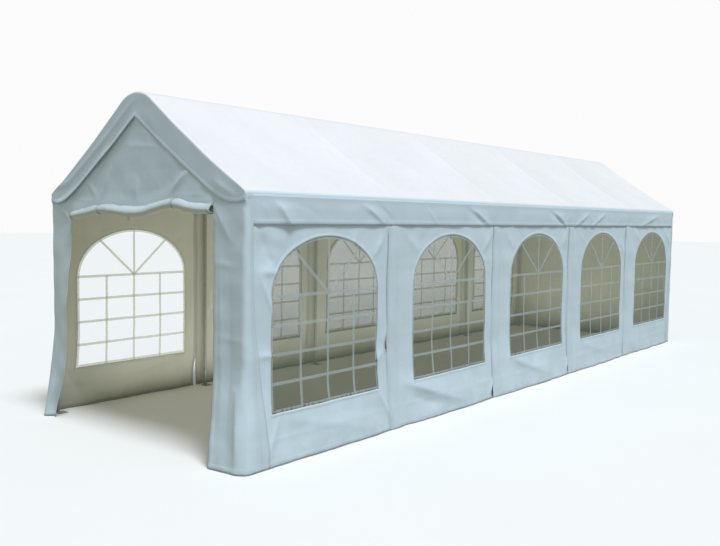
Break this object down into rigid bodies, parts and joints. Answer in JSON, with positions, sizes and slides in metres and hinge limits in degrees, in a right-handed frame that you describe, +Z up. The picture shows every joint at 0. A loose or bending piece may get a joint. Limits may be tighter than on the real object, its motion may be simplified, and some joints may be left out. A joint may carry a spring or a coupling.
{
  "type": "marquee tent",
  "caption": "Long gabled marquee tent: white roof cover with valances, arched window sheets along both sides, open front doorway with its door rolled up, closed back, on a steel tube frame.",
  "frame": {"origin": "on the ground, at the middle of the plan", "axes": "+Z up, +Y along the ridge from the open doorway to the closed back, +X to the right seen from the doorway"},
  "size_m": [3, 10, 3.2],
  "materials": {
    "roof_cloth": "coated woven sheet, slightly glossy",
    "wall_cloth": "coated woven sheet, satin",
    "roll_cloth": "coated woven sheet, satin",
    "window_film": "clear soft film, glossy",
    "painted_steel": "powder coat, satin"
  },
  "bodies": {
    "root": {"roof_cover": "roof_cloth", "front_gable": "wall_cloth", "front_left_flank": "wall_cloth", "front_right_flank": "wall_cloth", "back_wall": "wall_cloth", "left_wall_panel_1": "wall_cloth", "left_wall_panel_2": "wall_cloth", "left_wall_panel_3": "wall_cloth", "left_wall_panel_4": "wall_cloth", "left_wall_panel_5": "wall_cloth", "right_wall_panel_1": "wall_cloth", "right_wall_panel_2": "wall_cloth", "right_wall_panel_3": "wall_cloth", "right_wall_panel_4": "wall_cloth", "right_wall_panel_5": "wall_cloth", "front_door_roll": "roll_cloth", "left_window_film": "window_film", "right_window_film": "window_film", "left_leg_1": "painted_steel", "left_leg_2": "painted_steel", "left_leg_3": "painted_steel", "left_leg_4": "painted_steel", "left_leg_5": "painted_steel", "left_leg_6": "painted_steel", "right_leg_1": "painted_steel", "right_leg_2": "painted_steel", "right_leg_3": "painted_steel", "right_leg_4": "painted_steel", "right_leg_5": "painted_steel", "right_leg_6": "painted_steel", "left_rafter_1": "painted_steel", "left_rafter_2": "painted_steel", "left_rafter_3": "painted_steel", "left_rafter_4": "painted_steel", "left_rafter_5": "painted_steel", "left_rafter_6": "painted_steel", "right_rafter_1": "painted_steel", "right_rafter_2": "painted_steel", "right_rafter_3": "painted_steel", "right_rafter_4": "painted_steel", "right_rafter_5": "painted_steel", "right_rafter_6": "painted_steel", "ridge_rail": "painted_steel", "left_eave_rail": "painted_steel", "right_eave_rail": "painted_steel"}
  },
  "joints": []
}
